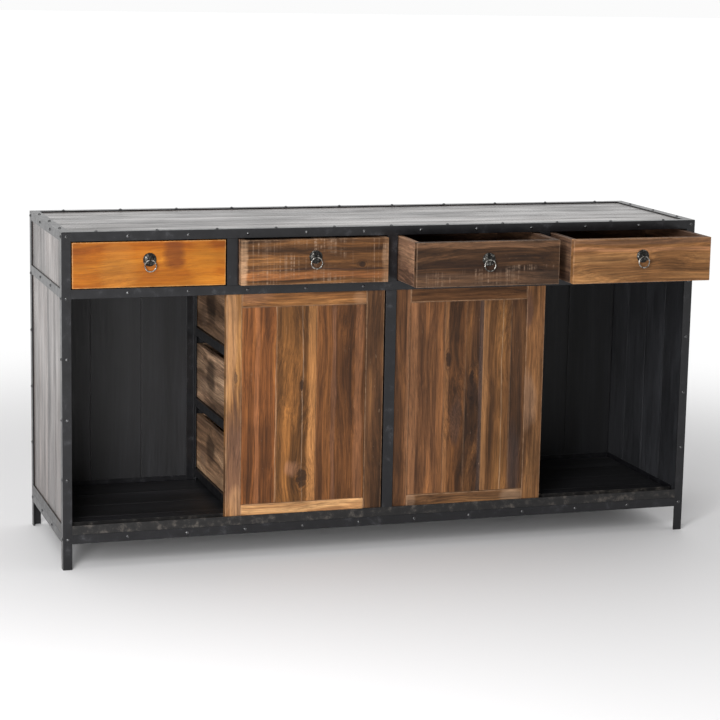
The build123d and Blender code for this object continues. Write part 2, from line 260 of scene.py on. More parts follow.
def boardAxes(low, high, face):
    size = high - low
    along = max(range(3), key=lambda axis: size[axis])
    depth = face if face is not None else min(range(3), key=lambda axis: size[axis])
    across = 3 - along - depth
    return across, depth, along


def woodMaterial(name, low, high, changes, face=None):
    look = {**plainWood, **changes}
    across, depth, along = boardAxes(low, high, face)
    material, tree, surface = newMaterial(name)
    coordinates = wire(tree, "ShaderNodeTexCoord", {}, out="Object")
    split = tree.nodes.new("ShaderNodeSeparateXYZ")
    tree.links.new(coordinates, split.inputs[0])
    vector = wire(tree, "ShaderNodeCombineXYZ",
                  {0: split.outputs[across], 1: split.outputs[depth], 2: split.outputs[along]})
    seed = look["seed"]
    tone = None
    if look["vary"]:
        tone = wire(tree, "ShaderNodeAttribute", {}, out="Fac", attribute_name="boardTone")
        seed = calc(tree, "ADD", calc(tree, "MULTIPLY", tone, woodShading["seedStep"]), seed)
    u = remap(tree, split.outputs[across], low[across], high[across])
    v = remap(tree, split.outputs[along], low[along], high[along])
    wobble = calc(tree, "SUBTRACT", speckle(tree, stretch(tree, vector, (30, 30, 7)), 1, 3), 0.5)

    knots = []
    figureVector = vector
    for knot in look["knots"]:
        centre = (low[across] + knot["at"][0] * (high[across] - low[across]), 0.0,
                  low[along] + knot["at"][1] * (high[along] - low[along]))
        flat = stretch(tree, figureVector, (1, 0, 1)) if not knots else figureVector
        length = knot["size"] * knot.get("stretch", woodShading["knotStretch"])
        bend = useGroup(tree, knotBend, {"Vector": flat, "Centre": centre, "Size": knot["size"],
                                         "Length": length})
        figureVector = bend["Vector"]
        knots.append((bend["Knot"], bend["Ring"], knot.get("strength", 1.0)))

    figure = useGroup(tree, woodFigure, {"Vector": figureVector, "Seed": seed, "Streaks": look["streaks"],
                                         "Sweep": look["sweep"]})
    spread = remap(tree, figure["Streak"], *look["spread"])
    warmed = [[part * warm for part, warm in zip(tone3, look["warmth"])] for tone3 in look["tones"]]
    dark, middle, light = (rgba(tone3) for tone3 in warmed)
    ramp = tree.nodes.new("ShaderNodeValToRGB")
    ramp.color_ramp.elements[0].color = dark
    ramp.color_ramp.elements[1].color = light
    ramp.color_ramp.elements.new(0.5).color = middle
    tree.links.new(spread, ramp.inputs[0])
    colour = ramp.outputs[0]
    for position, width, bandColour, strength in look["bands"]:
        bent = calc(tree, "ADD", u, calc(tree, "MULTIPLY", wobble, woodShading["bandWobble"]))
        offset = calc(tree, "ABSOLUTE", calc(tree, "SUBTRACT", bent, position))
        mask = calc(tree, "MULTIPLY", remap(tree, offset, width * 0.62, width * 0.38), strength)
        colour = blend(tree, mask, colour, rgba(bandColour))
    for patchU, patchV, reachU, reachV, patchColour, strength in look["patches"]:
        sideways = calc(tree, "DIVIDE", calc(tree, "SUBTRACT", u, patchU), reachU)
        lengthways = calc(tree, "DIVIDE", calc(tree, "SUBTRACT", v, patchV), reachV)
        square = calc(tree, "ADD", calc(tree, "MULTIPLY", sideways, sideways),
                      calc(tree, "MULTIPLY", lengthways, lengthways))
        square = calc(tree, "ADD", square, calc(tree, "MULTIPLY", wobble, woodShading["patchWobble"]))
        mask = calc(tree, "MULTIPLY", remap(tree, square, 1.25, 0.35), strength)
        colour = blend(tree, mask, colour, rgba(patchColour))
    shade = remap(tree, figure["Cloud"], 0.3, 0.7, 1.0 - look["cloud"], 1.0 + look["cloud"] * 0.5)
    fibreShade = remap(tree, figure["Fibre"], 0.3, 0.7, 1.0 - look["fibre"], 1.0 + look["fibre"] * 0.6)
    grainShade = remap(tree, figure["Grain"], 0.34, 0.66, 1.0 - look["grain"], 1.0 + look["grain"] * 0.55)
    shade = calc(tree, "MULTIPLY", calc(tree, "MULTIPLY", shade, fibreShade), grainShade)
    if tone is not None:
        shade = calc(tree, "MULTIPLY", shade, remap(tree, tone, 0, 1, 1 - look["vary"], 1 + look["vary"]))
    colour = wire(tree, "ShaderNodeVectorMath", {0: colour, "Scale": shade}, operation="SCALE")
    colour = blend(tree, calc(tree, "MULTIPLY", figure["Pore"], look["pore"]), colour,
                   rgba([part * woodShading["poreDark"] for part in dark[:3]]))
    colour = blend(tree, calc(tree, "MULTIPLY", figure["Fleck"], look["fleck"]), colour,
                   rgba(look["fleckColour"]))
    for knot, ring, strength in knots:
        colour = blend(tree, calc(tree, "MULTIPLY", ring, woodShading["ringStrength"] * strength), colour,
                       rgba([part * woodShading["ringDark"] for part in dark[:3]]))
        core = wire(tree, "ShaderNodeVectorMath", {0: look["knotColour"], "Scale": shade},
                    operation="SCALE")
        mask = calc(tree, "MULTIPLY", knot, woodShading["knotStrength"] * strength)
        colour = blend(tree, mask, colour, core)
    height = calc(tree, "SUBTRACT", calc(tree, "MULTIPLY", figure["Fibre"], 0.5),
                  calc(tree, "MULTIPLY", figure["Pore"], 0.5))
    if look["saw"]:
        mark = useGroup(tree, sawMarks,
                        {"Vector": vector, "Pitch": look["sawPitch"], "Cover": look["sawCover"]})["Mark"]
        sawMiddle, sawReach = look["sawBand"]
        bent = calc(tree, "ADD", u, calc(tree, "MULTIPLY", wobble, woodShading["sawWobble"]))
        away = calc(tree, "ABSOLUTE", calc(tree, "SUBTRACT", bent, sawMiddle))
        mark = calc(tree, "MULTIPLY", mark, remap(tree, away, sawReach * 1.2, sawReach * 0.8))
        colour = blend(tree, calc(tree, "MULTIPLY", mark, look["saw"]), colour, rgba(look["sawColour"]))
        height = calc(tree, "ADD", height, calc(tree, "MULTIPLY", mark, woodShading["sawDepth"]))
    rim = wire(tree, "ShaderNodeAttribute", {}, out="Fac", attribute_name="rim")
    rubbed = useGroup(tree, rubbing, {"Vector": vector, "Scale": woodShading["rubScale"],
                                      "Amount": woodShading["rubAmount"]})
    edge = calc(tree, "MULTIPLY",
                calc(tree, "MULTIPLY", rim, remap(tree, rubbed["Mottle"], 0.35, 0.6, 0.25, 1)),
                look["edge"])
    colour = blend(tree, edge, colour, rgba(look["edgeColour"]))
    if look["inner"]:
        faces = (low[depth], high[depth]) if look["inner"] > 0 else (high[depth], low[depth])
        inward = remap(tree, remap(tree, split.outputs[depth], *faces), 0.6, 0.75)
        dim = wire(tree, "ShaderNodeVectorMath", {0: look["innerColour"], "Scale": shade},
                   operation="SCALE")
        colour = blend(tree, inward, colour, dim)
    tree.links.new(colour, surface.inputs["Base Color"])
    roughness = remap(tree, figure["Fibre"], 0.3, 0.7, *look["rough"])
    tree.links.new(roughness, surface.inputs["Roughness"])
    surface.inputs["Specular IOR Level"].default_value = look["shine"]
    if look["coat"]:
        streaky = calc(tree, "ADD", calc(tree, "MULTIPLY", figure["Streak"], 0.5),
                       calc(tree, "MULTIPLY", figure["Cloud"], 0.5))
        coat = remap(tree, streaky, 0.38, 0.62, look["coat"] * 0.15, look["coat"] * 1.3)
        tree.links.new(coat, surface.inputs["Coat Weight"])
    surface.inputs["Coat Roughness"].default_value = look["coatRough"]
    bump = wire(tree, "ShaderNodeBump", {"Height": height, "Strength": look["bump"],
                                         "Distance": woodShading["bumpDistance"]})
    tree.links.new(bump, surface.inputs["Normal"])
    return material


# Boards: each solid of a CAD node becomes a board with cut, eased and slightly uneven faces

boardShape = {"cutEvery": 0.05, "rimWidth": 0.0035, "ease": 0.0009, "rimReach": 1.6, "uneven": 0.0007,
              "unevenScale": 0.07, "unevenMiddle": 0.72, "longShare": 0.99, "facing": 0.9, "sharp": 40,
              "easeSegments": 2, "smooth": 30}


def solidBoxes(node):
    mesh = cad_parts[node].data
    spot = {}
    owner = []
    for vertex in mesh.vertices:
        key = tuple(round(value * 1e5) for value in vertex.co)
        owner.append(spot.setdefault(key, len(spot)))
    parent = list(range(len(spot)))

    def root(index):
        while parent[index] != index:
            parent[index] = parent[parent[index]]
            index = parent[index]
        return index

    for face in mesh.polygons:
        first = root(owner[face.vertices[0]])
        for corner in face.vertices[1:]:
            parent[root(owner[corner])] = first
    found = {}
    for vertex in mesh.vertices:
        found.setdefault(root(owner[vertex.index]), []).append(vertex.co)
    boxes = []
    for points in found.values():
        low = Vector([min(point[axis] for point in points) for axis in range(3)])
        high = Vector([max(point[axis] for point in points) for axis in range(3)])
        boxes.append((low, high))
    return sorted(boxes, key=lambda corners: tuple(round(value, 4) for value in corners[0]))


def holds(box, point, slack=0.0015):
    low, high = box
    return all(low[axis] - slack <= point[axis] <= high[axis] + slack for axis in range(3))


def makeBoards(name, boxes, materials, body, nodes, shape=None):
    sizes = {**boardShape, **(shape or {})}
    bpy.ops.object.select_all(action="DESELECT")
    bpy.ops.mesh.primitive_cube_add(size=0.001, location=(0, 0, 0))
    piece = bpy.context.object
    piece.name = name
    bpy.ops.object.mode_set(mode="EDIT")
    bpy.ops.mesh.select_all(action="SELECT")
    bpy.ops.mesh.delete(type="VERT")
    longest = 0.0
    for low, high in boxes:
        bpy.ops.mesh.primitive_cube_add(size=1, location=(low + high) / 2, scale=high - low)
        longest = max(longest, max(high - low))
    bpy.ops.mesh.select_mode(type="EDGE")
    cuts = max(2, round(longest / sizes["cutEvery"]))
    form = bmesh.from_edit_mesh(piece.data)
    for edge in form.edges:
        middle = (edge.verts[0].co + edge.verts[1].co) / 2
        box = next(box for box in boxes if holds(box, middle))
        edge.select_set(edge.calc_length() > max(box[1] - box[0]) * sizes["longShare"])
    bmesh.update_edit_mesh(piece.data)
    bpy.ops.mesh.subdivide(number_cuts=cuts)
    bpy.ops.mesh.select_mode(type="FACE")
    for direction in (Vector((1, 0, 0)), Vector((0, 1, 0)), Vector((0, 0, 1))):
        for side in (-1, 1):
            form = bmesh.from_edit_mesh(piece.data)
            for face in form.faces:
                face.select_set(face.normal.dot(direction) * side > sizes["facing"])
            bmesh.update_edit_mesh(piece.data)
            bpy.ops.mesh.inset(thickness=sizes["rimWidth"], use_even_offset=True)
    bpy.ops.mesh.select_mode(type="EDGE")
    bpy.ops.mesh.select_all(action="DESELECT")
    bpy.ops.mesh.edges_select_sharp(sharpness=radians(sizes["sharp"]))
    bpy.ops.mesh.bevel(offset=sizes["ease"], segments=sizes["easeSegments"], affect="EDGES")
    bpy.ops.mesh.select_all(action="SELECT")
    bpy.ops.mesh.normals_make_consistent(inside=False)
    bpy.ops.object.mode_set(mode="OBJECT")
    mesh = piece.data
    rim = mesh.attributes.new("rim", "FLOAT", "POINT")
    toneValue = mesh.attributes.new("boardTone", "FLOAT", "POINT")
    picker = random.Random(name)
    tones = [picker.random() for _ in boxes]
    reach = sizes["ease"] * sizes["rimReach"]
    for vertex in mesh.vertices:
        index = next(i for i, box in enumerate(boxes) if holds(box, vertex.co))
        low, high = boxes[index]
        close = sum(min(vertex.co[axis] - low[axis],
                        high[axis] - vertex.co[axis]) < reach for axis in range(3))
        rim.data[vertex.index].value = 1.0 if close > 1 else 0.0
        toneValue.data[vertex.index].value = tones[index]
    for material in materials:
        mesh.materials.append(material)
    if len(materials) > 1:
        for face in mesh.polygons:
            face.material_index = next(i for i, box in enumerate(boxes) if holds(box, face.center))
    unevenness = bpy.data.textures.new(name + "Uneven", "CLOUDS")
    unevenness.noise_scale = sizes["unevenScale"]
    displace = piece.modifiers.new("uneven", "DISPLACE")
    displace.texture = unevenness
    displace.texture_coords = "LOCAL"
    displace.strength = sizes["uneven"]
    displace.mid_level = sizes["unevenMiddle"]
    bpy.ops.object.modifier_apply(modifier=displace.name)
    bpy.ops.object.shade_smooth_by_angle(angle=radians(sizes["smooth"]))
    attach(piece, body)
    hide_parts(*nodes)


# Iron

ironLooks = {
    "blackIron": {"colour": (0.0055, 0.0055, 0.0068), "rubbedColour": (0.028, 0.028, 0.031), "amount": 0.26,
                  "scale": 34.0, "rough": (0.34, 0.52), "bump": 0.14, "coat": 0.4, "shine": 0.22},
    "lipIron": {"colour": (0.011, 0.0105, 0.0105), "rubbedColour": (0.06, 0.052, 0.045), "amount": 0.3,
                "scale": 44.0, "rough": (0.36, 0.56), "bump": 0.2, "coat": 0.3, "shine": 0.22},
    "rivetSteel": {"colour": (0.008, 0.008, 0.009), "rubbedColour": (0.12, 0.12, 0.125), "amount": 0.3,
                   "scale": 160.0, "rough": (0.2, 0.36), "bump": 0.12, "coat": 0.8},
    "darkPewter": {"colour": (0.028, 0.027, 0.025), "rubbedColour": (0.26, 0.25, 0.23), "amount": 0.29,
                   "scale": 150.0, "rough": (0.28, 0.5), "bump": 0.4, "metallic": 0.9},
    "pewter": {"colour": (0.09, 0.086, 0.078), "rubbedColour": (0.42, 0.41, 0.38), "amount": 0.38,
               "scale": 150.0, "rough": (0.26, 0.46), "bump": 0.35, "metallic": 0.9},
}
metalShading = {"coatRough": 0.16, "grit": 260, "gritHeight": 0.35, "mottleHeight": 1.5,
                "bumpDistance": 0.001, "shade": (0.7, 1.35)}


def metalMaterial(name):
    look = ironLooks[name]
    material, tree, surface = newMaterial(name)
    coordinates = wire(tree, "ShaderNodeTexCoord", {}, out="Object")
    worn = useGroup(tree, rubbing,
                    {"Vector": coordinates, "Scale": look["scale"], "Amount": look["amount"]})
    shade = remap(tree, worn["Mottle"], 0.3, 0.7, *metalShading["shade"])
    colour = blend(tree, worn["Rubbed"], rgba(look["colour"]), rgba(look["rubbedColour"]))
    colour = wire(tree, "ShaderNodeVectorMath", {0: colour, "Scale": shade}, operation="SCALE")
    tree.links.new(colour, surface.inputs["Base Color"])
    tree.links.new(remap(tree, worn["Mottle"], 0.32, 0.68, *look["rough"]), surface.inputs["Roughness"])
    surface.inputs["Metallic"].default_value = look.get("metallic", 0.0)
    surface.inputs["Coat Weight"].default_value = look.get("coat", 0.0)
    surface.inputs["Coat Roughness"].default_value = metalShading["coatRough"]
    surface.inputs["Specular IOR Level"].default_value = look.get("shine", 0.5)
    grit = speckle(tree, coordinates, metalShading["grit"], 3, 0.6)
    height = calc(tree, "ADD", calc(tree, "MULTIPLY", worn["Mottle"], metalShading["mottleHeight"]),
                  calc(tree, "MULTIPLY", grit, metalShading["gritHeight"]))
    bump = wire(tree, "ShaderNodeBump", {"Height": height, "Strength": look["bump"],
                                         "Distance": metalShading["bumpDistance"]})
    tree.links.new(bump, surface.inputs["Normal"])
    return material


metals = {name: metalMaterial(name) for name in ironLooks}

iron = {"ease": 0.0007, "segments": 2, "sharp": 40, "weld": 0.00002}
ironNodes = [
    "post_front_left", "post_front_right", "post_back_left", "post_back_right", "top_frame", "mid_frame",
    "bottom_frame", "lip_frame", "drawer_tees", "door_tee", "door_track", "door_guide", "drawer_runners",
    "inner_uprights", "inner_runners", "floor_trim",
]


def dressNode(node, material):
    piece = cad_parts[node]
    for place in piece.material_slots:
        place.material = material
    return piece


def easeEdges(piece):
    weld = piece.modifiers.new("weld", "WELD")
    weld.merge_threshold = iron["weld"]
    ease = piece.modifiers.new("ease", "BEVEL")
    ease.width = iron["ease"]
    ease.segments = iron["segments"]
    ease.limit_method = "ANGLE"
    ease.angle_limit = radians(iron["sharp"])


for node in ironNodes:
    worn = node in ("lip_frame", "door_track")
    easeEdges(dressNode(node, metals["lipIron" if worn else "blackIron"]))
dressNode("frame_rivets", metals["rivetSteel"])
print("iron dressed")


# Dark boards of the case

caseLooks = {
    "topWood": {"warmth": (1, 1, 1),
                "tones": ((0.03, 0.02, 0.017), (0.1, 0.071, 0.058), (0.21, 0.16, 0.135)), "streaks": 34.0,
                "sweep": 0.07, "vary": 0.3, "grain": 0.55, "fibre": 0.4, "cloud": 0.5, "rough": (0.3, 0.5),
                "shine": 0.5, "coat": 0.75, "coatRough": 0.2, "edge": 0.2, "edgeColour": (0.16, 0.12, 0.1),
                "bump": 0.22, "fleckColour": (0.03, 0.022, 0.02), "fleck": 0.5},
    "sideWood": {"warmth": (1, 1, 1),
                 "tones": ((0.055, 0.038, 0.032), (0.14, 0.104, 0.09), (0.28, 0.225, 0.2)), "streaks": 26.0,
                 "sweep": 0.07, "vary": 0.25, "grain": 0.5, "fibre": 0.45, "cloud": 0.45,
                 "rough": (0.3, 0.5), "shine": 0.5, "coat": 0.7, "coatRough": 0.26, "edge": 0.25,
                 "edgeColour": (0.24, 0.2, 0.18), "bump": 0.3, "fleckColour": (0.035, 0.025, 0.022),
                 "fleck": 0.75},
    "blackWood": {"warmth": (1, 1, 1),
                  "tones": ((0.004, 0.004, 0.005), (0.009, 0.009, 0.011), (0.018, 0.018, 0.021)),
                  "streaks": 18.0, "sweep": 0.04, "vary": 0.15, "grain": 0.3, "fibre": 0.3, "cloud": 0.4,
                  "rough": (0.42, 0.62), "shine": 0.5, "edge": 0.0, "bump": 0.25, "fleck": 0.0},
}
caseShape = {"ease": 0.0005, "rimWidth": 0.0025}


def caseBoards(name, node, lookName, inner=None):
    boxes = solidBoxes(node)
    low, high = boxes[0]
    material = woodMaterial(name + "Wood", low, high, {**caseLooks[lookName], "inner": inner})
    makeBoards(name, boxes, [material], "carcass", [node], caseShape)


caseBoards("topBoards", "top_boards", "topWood")
caseBoards("leftSideBoards", "left_side_boards", "sideWood", 1)
caseBoards("rightSideBoards", "right_side_boards", "sideWood", -1)
caseBoards("backBoards", "back_boards", "blackWood")
caseBoards("floorBoards", "floor_boards", "blackWood")
print("case boards made")


# Sliding doors: one look for each board, left to right

leftDoor = {
    "stiles": [
        {"tones": ((0.14, 0.064, 0.026), (0.33, 0.158, 0.066), (0.5, 0.27, 0.12)), "seed": 2.0,
         "streaks": 60.0,
         "patches": ((0.6, 0.25, 0.8, 0.3, (0.15, 0.075, 0.048), 0.8),
                     (0.2, 0.8, 0.5, 0.3, (0.46, 0.24, 0.11), 0.6),
                     (0.6, 0.05, 0.5, 0.09, (0.4, 0.21, 0.1), 0.7)),
         "knots": ({"at": (0.62, 0.62), "size": 0.006, "stretch": 3.0, "strength": 0.7},),
         "knotColour": (0.09, 0.05, 0.03), "edge": 0.5},
        {"tones": ((0.05, 0.024, 0.014), (0.1, 0.046, 0.024), (0.17, 0.082, 0.04)), "seed": 5.0,
         "streaks": 40.0, "fleck": 0.3, "edge": 0.4},
    ],
    "rails": [
        {"tones": ((0.32, 0.16, 0.09), (0.58, 0.31, 0.17), (0.74, 0.44, 0.26)), "seed": 7.0,
         "streaks": 60.0, "edge": 0.5},
        {"tones": ((0.11, 0.047, 0.019), (0.22, 0.096, 0.038), (0.34, 0.16, 0.068)), "seed": 8.0,
         "streaks": 60.0,
         "patches": ((0.5, 0.1, 0.5, 0.15, (0.3, 0.14, 0.07), 0.5),
                     (0.5, 0.95, 0.6, 0.07, (0.38, 0.2, 0.1), 0.6)), "edge": 0.4},
    ],
    "planks": [
        {"tones": ((0.1, 0.037, 0.014), (0.235, 0.085, 0.03), (0.38, 0.155, 0.056)), "seed": 11.0,
         "streaks": 34.0,
         "bands": ((0.45, 0.12, (0.38, 0.145, 0.055), 0.6), (0.98, 0.03, (0.45, 0.26, 0.14), 0.6)),
         "sweep": 0.08},
        {"tones": ((0.06, 0.027, 0.01), (0.17, 0.073, 0.026), (0.31, 0.135, 0.047)), "seed": 13.0,
         "streaks": 30.0,
         "bands": ((0.9, 0.2, (0.42, 0.185, 0.06), 0.9), (0.66, 0.022, (0.34, 0.22, 0.14), 0.6)),
         "knots": ({"at": (0.66, 0.12), "size": 0.017, "stretch": 1.7},
                   {"at": (0.64, 0.6), "size": 0.006, "stretch": 3.0}),
         "patches": ((0.45, 0.17, 0.2, 0.05, (0.36, 0.17, 0.09), 0.6),),
         "knotColour": (0.034, 0.016, 0.008), "sweep": 0.13},
        {"tones": ((0.062, 0.025, 0.011), (0.15, 0.06, 0.024), (0.26, 0.105, 0.04)), "seed": 17.0,
         "streaks": 26.0,
         "bands": ((0.87, 0.14, (0.25, 0.105, 0.045), 0.7), (0.36, 0.08, (0.24, 0.11, 0.06), 0.5)),
         "sweep": 0.1},
    ],
}
rightDoor = {
    "stiles": [
        {"tones": ((0.055, 0.025, 0.014), (0.11, 0.048, 0.024), (0.19, 0.085, 0.04)), "seed": 21.0,
         "streaks": 44.0, "bands": ((0.95, 0.3, (0.26, 0.115, 0.05), 0.6),), "edge": 0.35},
        {"tones": ((0.085, 0.04, 0.02), (0.17, 0.08, 0.04), (0.28, 0.14, 0.07)), "seed": 23.0,
         "streaks": 40.0,
         "patches": ((0.2, 0.45, 0.5, 0.14, (0.3, 0.17, 0.1), 0.6),
                     (0.1, 0.9, 0.3, 0.1, (0.07, 0.035, 0.025), 0.7)), "edge": 0.45},
    ],
    "rails": [
        {"tones": ((0.085, 0.041, 0.022), (0.17, 0.085, 0.046), (0.29, 0.155, 0.086)), "seed": 25.0,
         "streaks": 60.0,
         "patches": ((0.4, 0.9, 0.6, 0.1, (0.36, 0.22, 0.13), 0.7),
                     (0.5, 0.03, 0.6, 0.05, (0.34, 0.2, 0.12), 0.6)), "edge": 0.6},
        {"tones": ((0.08, 0.036, 0.018), (0.14, 0.064, 0.032), (0.22, 0.105, 0.053)), "seed": 26.0,
         "streaks": 60.0, "edge": 0.75},
    ],
    "planks": [
        {"tones": ((0.06, 0.027, 0.016), (0.135, 0.06, 0.032), (0.24, 0.105, 0.05)), "seed": 31.0,
         "streaks": 36.0, "bands": ((0.13, 0.22, (0.27, 0.12, 0.052), 0.75),), "sweep": 0.08},
        {"tones": ((0.05, 0.023, 0.013), (0.13, 0.056, 0.026), (0.25, 0.105, 0.042)), "seed": 33.0,
         "streaks": 36.0, "bands": ((0.12, 0.2, (0.29, 0.13, 0.05), 0.6),), "sweep": 0.13,
         "knots": ({"at": (0.2, 0.7), "size": 0.009, "stretch": 2.6},),
         "patches": ((0.6, 0.38, 0.3, 0.14, (0.075, 0.038, 0.024), 0.7),)},
        {"tones": ((0.045, 0.021, 0.013), (0.11, 0.05, 0.026), (0.21, 0.095, 0.042)), "seed": 35.0,
         "streaks": 40.0, "bands": ((0.95, 0.3, (0.075, 0.045, 0.035), 0.85),), "sweep": 0.13,
         "knots": ({"at": (0.4, 0.6), "size": 0.008, "stretch": 3.2},
                   {"at": (0.42, 0.49), "size": 0.006, "stretch": 1.5}),
         "patches": ((0.5, 0.53, 0.3, 0.05, (0.05, 0.024, 0.014), 0.6),), "fleck": 0.35},
        {"tones": ((0.075, 0.035, 0.018), (0.175, 0.08, 0.036), (0.29, 0.14, 0.06)), "seed": 37.0,
         "streaks": 30.0,
         "bands": ((0.1, 0.2, (0.33, 0.155, 0.06), 0.8), (0.72, 0.03, (0.42, 0.27, 0.16), 0.6)),
         "sweep": 0.1},
        {"tones": ((0.035, 0.018, 0.012), (0.08, 0.037, 0.02), (0.15, 0.07, 0.035)), "seed": 39.0,
         "streaks": 40.0, "patches": ((0.4, 0.15, 0.5, 0.2, (0.05, 0.03, 0.024), 0.7),), "sweep": 0.11},
    ],
}


def makeDoor(side, looks):
    for part in ("stiles", "rails", "planks"):
        node = side + "_door_" + part
        boxes = solidBoxes(node)
        materials = []
        name = side + "Door" + part.capitalize()
        for number, (box, look) in enumerate(zip(boxes, looks[part]), start=1):
            materials.append(woodMaterial(name + str(number), *box, look, frontAxis))
        makeBoards(name, boxes, materials, side + "_door", [node])


makeDoor("left", leftDoor)
makeDoor("right", rightDoor)
print("doors made")


# Drawers: a look for each front, and rough wood for the boxes, lightened for the inner drawers' boxes as
# painted light

drawerFronts = [
    {"tones": ((0.22, 0.058, 0.0035), (0.34, 0.108, 0.007), (0.43, 0.165, 0.019)), "seed": 41.0,
     "streaks": 22.0, "sweep": 0.12, "grain": 0.2, "fibre": 0.14, "pore": 0.3, "cloud": 0.4,
     "rough": (0.34, 0.5), "edge": 0.55, "edgeColour": (0.56, 0.3, 0.11), "fleck": 0.12,
     "fleckColour": (0.2, 0.05, 0.006),
     "patches": ((0.72, 0.66, 0.34, 0.075, (0.15, 0.036, 0.005), 0.8),
                 (0.3, 0.3, 0.6, 0.12, (0.4, 0.165, 0.028), 0.4),
                 (0.5, 0.85, 0.5, 0.1, (0.42, 0.155, 0.013), 0.4),
                 (0.4, 0.5, 0.3, 0.06, (0.3, 0.08, 0.006), 0.5))},
    {"tones": ((0.042, 0.019, 0.009), (0.12, 0.053, 0.022), (0.26, 0.12, 0.05)), "seed": 43.0,
     "streaks": 44.0, "saw": 0.5, "sawCover": 0.32, "sawPitch": 0.008, "edge": 0.3,
     "edgeColour": (0.42, 0.25, 0.14),
     "bands": ((0.2, 0.16, (0.31, 0.115, 0.036), 0.75), (0.33, 0.04, (0.05, 0.022, 0.014), 0.7)),
     "knots": ({"at": (0.42, 0.82), "size": 0.008, "stretch": 1.5},),
     "patches": ((0.5, 0.015, 0.9, 0.03, (0.42, 0.25, 0.14), 0.7),
                 (0.5, 0.985, 0.9, 0.03, (0.34, 0.19, 0.1), 0.6))},
    {"tones": ((0.022, 0.01, 0.006), (0.05, 0.024, 0.013), (0.105, 0.052, 0.03)), "seed": 45.0,
     "streaks": 50.0, "saw": 0.36, "sawCover": 0.36, "sawPitch": 0.006, "sawBand": (0.22, 0.2), "edge": 0.3,
     "edgeColour": (0.36, 0.23, 0.15),
     "bands": ((0.15, 0.28, (0.2, 0.115, 0.07), 0.2), (0.92, 0.12, (0.2, 0.1, 0.05), 0.6))},
    {"tones": ((0.13, 0.06, 0.026), (0.25, 0.12, 0.056), (0.38, 0.2, 0.1)), "seed": 47.0, "streaks": 34.0,
     "saw": 0.2, "sawCover": 0.15, "sweep": 0.14, "edge": 0.3, "edgeColour": (0.42, 0.27, 0.18),
     "bands": ((0.75, 0.1, (0.38, 0.175, 0.08), 0.6), (0.93, 0.1, (0.13, 0.07, 0.045), 0.5))},
]
innerFronts = [
    {"tones": ((0.07, 0.035, 0.022), (0.14, 0.07, 0.04), (0.24, 0.125, 0.07)), "seed": 51.0 + step,
     "streaks": 36.0, "saw": 0.4, "sawCover": 0.2}
    for step in range(3)
]
boxLook = {"tones": ((0.07, 0.04, 0.035), (0.17, 0.096, 0.078), (0.3, 0.18, 0.14)), "streaks": 34.0,
           "fibre": 0.5, "pore": 0.7, "cloud": 0.5, "saw": 0.25, "sawCover": 0.25, "vary": 0.2,
           "rough": (0.6, 0.8), "edge": 0.25, "edgeColour": (0.36, 0.26, 0.19), "bump": 0.6}
# Box wood tones for the inner drawers, much lighter than boxLook: painted light that stands in for light
# the bays don't let in
innerBoxTonesWithPaintedLight = [
    ((0.2, 0.12, 0.1), (0.42, 0.26, 0.2), (0.62, 0.42, 0.34)),
    ((0.1, 0.062, 0.052), (0.32, 0.21, 0.18), (0.6, 0.42, 0.36)),
    ((0.14, 0.085, 0.072), (0.3, 0.19, 0.155), (0.5, 0.33, 0.28)),
]


def boxMaterials(name, boxes, look):
    return [woodMaterial(name + "Board" + str(index), low, high, look)
            for index, (low, high) in enumerate(boxes, start=1)]


def makeDrawer(name, node, frontLook, sideLook, parts):
    boxes = solidBoxes(node + "_front")
    low, high = boxes[0]
    material = woodMaterial(name + "FrontWood", low, high, frontLook, frontAxis)
    makeBoards(name + "Front", boxes[:1], [material], node, [node + "_front"])
    for part in parts:
        boxes = solidBoxes(node + "_" + part)
        materials = boxMaterials(name + part.capitalize(), boxes, sideLook)
        makeBoards(name + part.capitalize(), boxes, materials, node, [node + "_" + part])


for number, look in enumerate(drawerFronts, start=1):
    makeDrawer("drawer" + str(number), "drawer_" + str(number), look, {**boxLook, "seed": 60.0 + number},
               ("box", "base"))
for number, look in enumerate(innerFronts, start=1):
    # the inner drawer boxes take the lightened tones, which paint light onto their sides
    rough = {**boxLook, "tones": innerBoxTonesWithPaintedLight[number - 1], "seed": 70.0 + number,
             "patches": ((0.55, 0.5, 0.35, 0.16, (0.025, 0.017, 0.014), 0.7),
                         (0.3, 0.75, 0.2, 0.1, (0.25, 0.16, 0.11), 0.5))}
    makeDrawer("innerDrawer" + str(number), "inner_drawer_" + str(number), look, rough, ("box",))
print("drawers made")


# Pulls

pull = {"steps": ((1.0, 0.0012), (0.96, 0.0006), (0.86, 0.0), (0.82, 0.0008), (0.72, 0.0009),
                  (0.56, 0.0008), (0.36, 0.0005)), "sides": 40, "wire": 0.00175, "uneven": 0.0003,
        "eyeRadius": 0.0038, "eyeWire": 0.0013, "neck": 0.2, "neckReach": 0.0028, "nutAcross": 0.008,
        "nutThickness": 0.004, "board": 0.02, "nutEase": 0.0004, "nutSegments": 2, "ringSides": (56, 16),
        "dents": 0.006, "smooth": 38, "ringSmooth": 60}


def rideAndName(piece, name, body, nodes, metal):
    piece.name = name
    piece.data.materials.clear()
    piece.data.materials.append(metals[metal])
    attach(piece, body)
    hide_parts(*nodes)


def addRing(centre, major, minor, turn):
    bpy.ops.object.select_all(action="DESELECT")
    bpy.ops.mesh.primitive_torus_add(location=centre, rotation=turn, major_radius=major, minor_radius=minor,
                                     major_segments=pull["ringSides"][0],
                                     minor_segments=pull["ringSides"][1])
    bpy.ops.object.transform_apply(location=True, rotation=True, scale=True)
    return bpy.context.object


